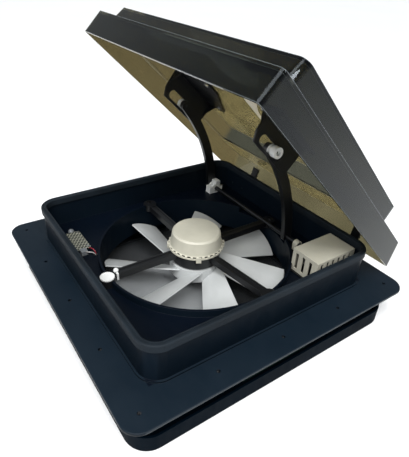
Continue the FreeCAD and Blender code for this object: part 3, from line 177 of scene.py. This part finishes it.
    def inside_square(self, reach, soft):
        """1 nearer the Z axis than reach in both X and Y, fading to 0 over the soft width."""
        across = self.larger(self.math("ABSOLUTE", self.along("X")),
                             self.math("ABSOLUTE", self.along("Y")))
        return self.fade(across, reach + soft, reach)

    def along(self, axis):
        parts = self.add("ShaderNodeSeparateXYZ")
        self.link(self.place, parts.inputs["Vector"])
        return parts.outputs[axis]

    def blend(self, factor, first, second):
        """The first colour where the factor is 0, the second where it is 1; either may be a link."""
        made = self.add("ShaderNodeMix", data_type="RGBA")
        self.link(factor, made.inputs["Factor"])
        for socket, colour in zip((made.inputs["A"], made.inputs["B"]), (first, second)):
            if isinstance(colour, tuple):
                socket.default_value = (*colour, 1)
            else:
                self.link(colour, socket)
        return made.outputs["Result"]


def mix(colour, factor):
    """The colour made lighter or darker."""
    return tuple(min(1.0, value * factor) for value in colour)


# ---------------------------------------------------------------- finishes

def moulded_plastic(name, colour, roughness, shine=0.35, grain=0.06, grain_size=0.5 * MM):
    """Satin moulded plastic: fine spark grain, faint flow marks and handling marks in the gloss."""
    finish = Finish(name, colour, roughness, Specular_IOR_Level=shine)
    finish.soften_edges(0.5 * MM)
    flow = finish.noise(90 * MM, detail=4)
    finish.colour_from(finish.ramp(flow, mix(colour, 0.82), mix(colour, 1.2)))
    marks = finish.noise(22 * MM, detail=6, stretch=(1, 2.5, 1))
    finish.roughness_from(finish.spread(marks, roughness - 0.06, roughness + 0.08))
    finish.bump(finish.noise(grain_size, detail=2), grain, 0.12 * MM)
    return finish.material


def base_plastic():
    """Blue-black satin plastic, with painted light and shade in its colour: level faces outside the
    well are paler, partly dust and partly a painted sheen, and the well is painted dark as painted
    shade.

    The flange's rim carries a painted highlight, palest along its lower edge.
    """
    finish = Finish("base_plastic", (0.005, 0.012, 0.020), 0.42, Specular_IOR_Level=0.11)
    finish.soften_edges(0.8 * MM)
    flow = finish.noise(90 * MM, detail=4)
    # Level faces are paler than the walls: partly dust, partly a painted sheen; the darker walls are
    # painted shade.
    walls = finish.ramp(flow, (0.0010, 0.0034, 0.0066), (0.0020, 0.0048, 0.0086))
    painted_light_tone = finish.ramp(flow, (0.0042, 0.0090, 0.0150), (0.0072, 0.0130, 0.0200))
    level = finish.facing((0, 0, 1))
    # Painted shade: the whole well inside the upstand is painted darker, its floor a little paler
    # than its walls.
    well = finish.blend(level, finish.ramp(flow, (0.0022, 0.0055, 0.0100), (0.0036, 0.0075, 0.0130)),
                        finish.ramp(flow, (0.0009, 0.0026, 0.0060), (0.0016, 0.0036, 0.0080)))
    inside = finish.inside_square(UPSTAND_REACH, 1.5 * MM)
    # Painted highlight: the flange's rim is painted pale, palest along its lower edge.
    rim = finish.inside_square(FLANGE_REACH, 0.3 * MM)
    lower_edge = finish.fade(finish.along("Z"), 1.3 * MM, 0.8 * MM)
    painted_rim_highlight = finish.blend(lower_edge, (0.018, 0.024, 0.030), (0.52, 0.58, 0.62))
    outside = finish.blend(rim, painted_rim_highlight, finish.blend(level, walls, painted_light_tone))
    finish.colour_from(finish.blend(inside, outside, well))
    marks = finish.noise(22 * MM, detail=6, stretch=(1, 2.5, 1))
    finish.roughness_from(finish.spread(marks, 0.34, 0.48))
    finish.bump(finish.noise(0.5 * MM, detail=2), 0.06, 0.12 * MM)
    return finish.material


def smoked_acrylic():
    """Smoked clear sheet, polished, with a painted highlight along its edges.

    The walls are painted darker than the plate, as painted shade, and the far side wall is painted
    browner than they are.
    """
    finish = Finish("smoked_acrylic", (0.15, 0.125, 0.06), 0.02, Transmission_Weight=1.0,
                    IOR=1.32, Specular_IOR_Level=0.4, Specular_Tint=(0.82, 0.91, 1.0, 1.0))
    edge = finish.soften_edges(1.0 * MM)
    cloud = finish.noise(70 * MM, detail=3, stretch=(1, 1.6, 1))
    plate = finish.ramp(cloud, (0.168, 0.138, 0.058), (0.218, 0.182, 0.080))
    # Painted shade: the walls get a far darker tint than the plate; the far side wall is painted
    # browner.
    wall = finish.ramp(cloud, (0.034, 0.040, 0.036), (0.046, 0.053, 0.048))
    far_wall = finish.math("MULTIPLY", finish.facing((1, 0, 0)),
                           finish.fade(finish.along("X"), -100 * MM, -150 * MM))
    walls = finish.blend(far_wall, wall, (0.115, 0.092, 0.042))
    clear = finish.blend(finish.facing(LID_UP), walls, plate)
    # Painted highlight: the edges are painted pale grey and let less light through.
    finish.colour_from(finish.blend(edge, clear, (0.34, 0.38, 0.41)))
    finish.link(finish.math("MULTIPLY_ADD", edge, -0.8, 1.0),
                finish.shader.inputs["Transmission Weight"])
    finish.bump(finish.noise(120 * MM, detail=0), 0.05, 0.6 * MM)
    return finish.material


def rubber(name, colour, roughness=0.62, shine=0.4):
    finish = Finish(name, colour, roughness, Specular_IOR_Level=shine)
    finish.soften_edges(0.5 * MM)
    dust = finish.noise(35 * MM, detail=6)
    finish.colour_from(finish.ramp(dust, mix(colour, 0.8), mix(colour, 1.5), 0.35, 0.8))
    finish.roughness_from(finish.spread(dust, roughness - 0.08, roughness + 0.1))
    finish.bump(finish.noise(0.9 * MM, detail=2), 0.12, 0.15 * MM)
    return finish.material


def foam():
    """Closed-cell foam: matt, with fine pits."""
    colour = (0.020, 0.021, 0.023)
    finish = Finish("gasket_foam", colour, 0.9, Specular_IOR_Level=0.15)
    cells = finish.add("ShaderNodeTexVoronoi")
    cells.inputs["Scale"].default_value = 1 / (1.1 * MM)
    finish.link(finish.place, cells.inputs["Vector"])
    finish.colour_from(finish.ramp(cells.outputs["Distance"], mix(colour, 0.5), mix(colour, 1.6)))
    finish.bump(cells.outputs["Distance"], 0.5, 0.4 * MM)
    return finish.material


def metal(name, colour, roughness, brushed=(1, 1, 14)):
    finish = Finish(name, colour, roughness, Metallic=1.0)
    brush = finish.noise(1.5 * MM, detail=4, stretch=brushed)
    stain = finish.noise(12 * MM, detail=4)
    finish.colour_from(finish.ramp(stain, mix(colour, 0.8), mix(colour, 1.12)))
    finish.roughness_from(finish.spread(brush, roughness - 0.07, roughness + 0.1))
    finish.bump(brush, 0.08, 0.05 * MM)
    return finish.material


def blade_plastic():
    """Pale translucent fan moulding, with faint flow marks and a film of dust."""
    colour = (0.43, 0.445, 0.445)
    finish = Finish("blade_plastic", colour, 0.38, Specular_IOR_Level=0.45)
    flow = finish.noise(60 * MM, detail=5, stretch=(1, 1, 3))
    finish.colour_from(finish.ramp(flow, mix(colour, 0.86), mix(colour, 1.06)))
    finish.roughness_from(finish.spread(flow, 0.3, 0.48))
    finish.bump(finish.noise(18 * MM, detail=2), 0.12, 0.5 * MM)
    return finish.material


def sensor_grid():
    """A lacquered board whose face is crossed by tinned tracks."""
    finish = Finish("sensor_grid", (0.1, 0.1, 0.07), 0.4, Specular_IOR_Level=0.5)
    tracks = finish.larger(finish.lines(4.6 * MM, "X", 38), finish.lines(4.6 * MM, "Y", 38))
    finish.colour_from(finish.ramp(tracks, (0.006, 0.008, 0.006), (0.42, 0.42, 0.34), 0.88, 0.99))
    finish.roughness_from(finish.spread(tracks, 0.5, 0.3))
    finish.bump(tracks, 0.5, 0.25 * MM)
    return finish.material


def circuit_board():
    colour = (0.003, 0.010, 0.008)
    finish = Finish("circuit_board", colour, 0.35, Specular_IOR_Level=0.3)
    tracks = finish.larger(finish.lines(2.54 * MM, "X"), finish.lines(5.08 * MM, "Y"))
    finish.colour_from(finish.ramp(tracks, colour, (0.012, 0.030, 0.024), 0.6, 0.9))
    finish.bump(tracks, 0.3, 0.05 * MM)
    return finish.material


def insect_net():
    """A fine net, half clear because it is mostly holes, with one round area painted pale as painted
    light.
    """
    finish = Finish("insect_net", (0.12, 0.12, 0.12), 0.7, Alpha=0.6, Specular_IOR_Level=0.25)
    threads = finish.larger(finish.lines(1.6 * MM, "X"), finish.lines(1.6 * MM, "Y"))
    # Painted light: a pale round area of net where light is painted falling through; the net around
    # it is dark.
    painted_light_tone = finish.ramp(threads, (0.16, 0.17, 0.175), (0.40, 0.42, 0.43), 0.4, 0.8)
    net_outside_light_pool = finish.ramp(threads, (0.006, 0.008, 0.010), (0.016, 0.019, 0.022), 0.4, 0.8)
    away = finish.add("ShaderNodeVectorMath", operation="DISTANCE")
    away.inputs[1].default_value = (20 * MM, -80 * MM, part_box("insect_screen")[0][2])
    finish.link(finish.place, away.inputs[0])
    light_pool_mask = finish.fade(away.outputs["Value"], 115 * MM, 75 * MM)
    finish.colour_from(finish.blend(light_pool_mask, net_outside_light_pool, painted_light_tone))
    finish.bump(threads, 0.6, 0.3 * MM)
    return finish.material


def wire_insulation(name, colour):
    finish = Finish(name, colour, 0.35, Specular_IOR_Level=0.5)
    scuffs = finish.noise(2 * MM, detail=4)
    finish.colour_from(finish.ramp(scuffs, mix(colour, 0.7), mix(colour, 1.25)))
    finish.bump(scuffs, 0.08, 0.05 * MM)
    return finish.material


TRIM_BLACK = moulded_plastic("trim_plastic", (0.0005, 0.0030, 0.0062), 0.55, shine=0.02)
PART_BLACK = moulded_plastic("working_plastic", (0.0045, 0.005, 0.006), 0.34, shine=0.45)
CREAM = moulded_plastic("cream_plastic", (0.455, 0.44, 0.365), 0.42, shine=0.4, grain=0.03)
KEY_GREY = moulded_plastic("key_plastic", (0.36, 0.37, 0.38), 0.5, grain=0.1)
WHITE = moulded_plastic("white_nylon", (0.66, 0.67, 0.66), 0.3, shine=0.5, grain=0.02)
EDGING = rubber("edging_rubber", (0.0075, 0.0115, 0.0160), shine=0.14)
BLACK_RUBBER = rubber("grommet_rubber", (0.012, 0.012, 0.013))
SENSOR_GREY = moulded_plastic("sensor_plastic", (0.15, 0.16, 0.17), 0.4, shine=0.4, grain=0.03)
STEEL = metal("zinc_steel", (0.62, 0.62, 0.61), 0.3)
DARK_STEEL = metal("black_steel", (0.06, 0.062, 0.067), 0.38)
MOTOR_STEEL = metal("motor_can_steel", (0.5, 0.5, 0.5), 0.35, brushed=(1, 1, 20))
BRASS = metal("machined_brass", (0.72, 0.50, 0.20), 0.28)
FINISHES = {
    "base_housing": base_plastic(), "ceiling_trim": TRIM_BLACK, "roof_gasket": foam(),
    "rim_edging": EDGING, "motor_cross": PART_BLACK, "cross_screws": DARK_STEEL,
    "strut_end_cap": WHITE, "strut_ball_clip": WHITE, "fan_motor": MOTOR_STEEL,
    "motor_screws": STEEL, "motor_cap": CREAM, "fan_blades": blade_plastic(),
    "fan_spindle": STEEL, "fan_nut": BRASS, "sensor_board": sensor_grid(),
    "sensor_posts": PART_BLACK, "sensor_screws": STEEL, "sensor_terminal": SENSOR_GREY,
    "sensor_eye": SENSOR_GREY, "gearbox_plate": PART_BLACK, "gearbox_cover": CREAM,
    "lift_motor": MOTOR_STEEL, "motor_cradle": PART_BLACK, "lift_worm": BRASS,
    "output_bearing": CREAM, "worm_wheel": WHITE, "lift_shaft": DARK_STEEL,
    "shaft_bearing_clip": WHITE, "right_lift_arm": PART_BLACK, "left_lift_arm": PART_BLACK,
    "right_roller": WHITE, "left_roller": WHITE, "roller_pins": DARK_STEEL,
    "lid_dome": smoked_acrylic(), "right_lid_bracket": PART_BLACK,
    "left_lid_bracket": PART_BLACK, "bracket_screws": STEEL, "right_hinge_ears": PART_BLACK,
    "left_hinge_ears": PART_BLACK, "right_hinge_leaf": PART_BLACK,
    "left_hinge_leaf": PART_BLACK, "hinge_pins": STEEL, "trim_screws": DARK_STEEL,
    "screen_frame": PART_BLACK, "insect_screen": insect_net(), "keypad_bezel": PART_BLACK,
    "keypad_board": circuit_board(), "power_button": KEY_GREY, "lid_button": KEY_GREY,
    "faster_button": KEY_GREY, "slower_button": KEY_GREY, "hinge_screws": DARK_STEEL,
    "leaf_rivets": DARK_STEEL, "wire_grommet": BLACK_RUBBER,
    "sensor_wire_red": wire_insulation("red_insulation", (0.26, 0.02, 0.035)),
    "sensor_wire_grey": wire_insulation("grey_insulation", (0.45, 0.43, 0.42)),
}


def dress(node, material):
    """Give a CAD node its finish and smooth its round faces."""
    thing = NODES[node]
    thing.data.materials.clear()
    thing.data.materials.append(material)
    for face in thing.data.polygons:
        face.use_smooth = True
    thing.data.set_sharp_from_angle(angle=math.radians(32))


for node_name, material in FINISHES.items():
    dress(node_name, material)


# ---------------------------------------------------------------- stage, lights and camera

def make_floor():
    bottom = CAD_BOX[0][2]
    mesh = bpy.data.meshes.new("floor")
    reach = 14.0
    corners = [(-reach, -reach, bottom), (reach, -reach, bottom), (reach, reach, bottom),
               (-reach, reach, bottom)]
    mesh.from_pydata(corners, [], [(0, 1, 2, 3)])
    floor = bpy.data.objects.new("floor", mesh)
    bpy.context.scene.collection.objects.link(floor)
    finish = Finish("floor_paint", (0.90, 0.90, 0.90), 0.75, Specular_IOR_Level=0.2)
    finish.colour_from(finish.ramp(finish.noise(0.8), (0.89, 0.89, 0.89), (0.91, 0.91, 0.91)))
    mesh.materials.append(finish.material)


def make_world():
    """A dim, slightly cool ceiling above a bright haze at the horizon, where the floor ends."""
    world = bpy.data.worlds.new("studio")
    world.use_nodes = True
    tree = world.node_tree
    parts = tree.nodes.new("ShaderNodeSeparateXYZ")
    haze = tree.nodes.new("ShaderNodeValToRGB")
    haze.color_ramp.elements[0].position = 0.10
    haze.color_ramp.elements[0].color = (1.0, 1.0, 1.0, 1)
    haze.color_ramp.elements[1].position = 0.30
    haze.color_ramp.elements[1].color = (0.36, 0.385, 0.40, 1)
    tree.links.new(tree.nodes.new("ShaderNodeTexCoord").outputs["Generated"],
                   parts.inputs["Vector"])
    tree.links.new(parts.outputs["Z"], haze.inputs["Fac"])
    tree.links.new(haze.outputs["Color"], tree.nodes["Background"].inputs["Color"])
    bpy.context.scene.world = world


def make_sun(name, towards, power, spread):
    """Even soft light from one direction; spread is the width in degrees of the sky it fills."""
    light = bpy.data.lights.new(name, "SUN")
    light.energy = power
    light.angle = math.radians(spread)
    lamp = bpy.data.objects.new(name, light)
    lamp.rotation_euler = Vector(towards).to_track_quat("Z", "Y").to_euler()
    bpy.context.scene.collection.objects.link(lamp)


def make_tube(name, start, end, target, width, power):
    """A long narrow lamp between two places, facing the target, like a ceiling tube."""
    start, end = Vector(start), Vector(end)
    place = (start + end) / 2
    along = (end - start).normalized()
    back = (place - Vector(target)).normalized()
    back = (back - along * back.dot(along)).normalized()
    light = bpy.data.lights.new(name, "AREA")
    light.shape = "RECTANGLE"
    light.size, light.size_y = (end - start).length, width
    light.energy = power
    lamp = bpy.data.objects.new(name, light)
    turn = Matrix((along, back.cross(along), back)).transposed().to_4x4()
    lamp.matrix_world = Matrix.Translation(place) @ turn
    bpy.context.scene.collection.objects.link(lamp)


def make_camera():
    """The view of the photograph: from the opening corner, 32 degrees down, with a slight roll."""
    place = Vector((480.04, -333.48, 428.54)) * MM
    target = Vector((-60.25, 59.15, 6.0)) * MM
    roll = math.radians(3.2)
    back = (place - target).normalized()
    right = Vector((0, 0, 1)).cross(back).normalized()
    up = back.cross(right)
    tilted_right = right * math.cos(roll) + up * math.sin(roll)
    tilted_up = up * math.cos(roll) - right * math.sin(roll)
    turn = Matrix((tilted_right, tilted_up, back)).transposed().to_4x4()
    lens = bpy.data.cameras.new("camera")
    lens.lens = 34.6
    lens.sensor_width = 36
    lens.clip_start = 0.01
    camera = bpy.data.objects.new("camera", lens)
    camera.matrix_world = Matrix.Translation(place) @ turn
    bpy.context.scene.collection.objects.link(camera)
    bpy.context.scene.camera = camera


make_floor()
make_world()
make_sun("overhead_light", (0.30, -0.62, 0.9), 2.9, 50)
make_tube("tube_light", (1.5, 0.03, 1.1), (0.45, -0.62, 1.73), (0.19, -0.045, 0.37), 0.25, 24)
make_camera()
bpy.context.scene.view_settings.view_transform = "Standard"
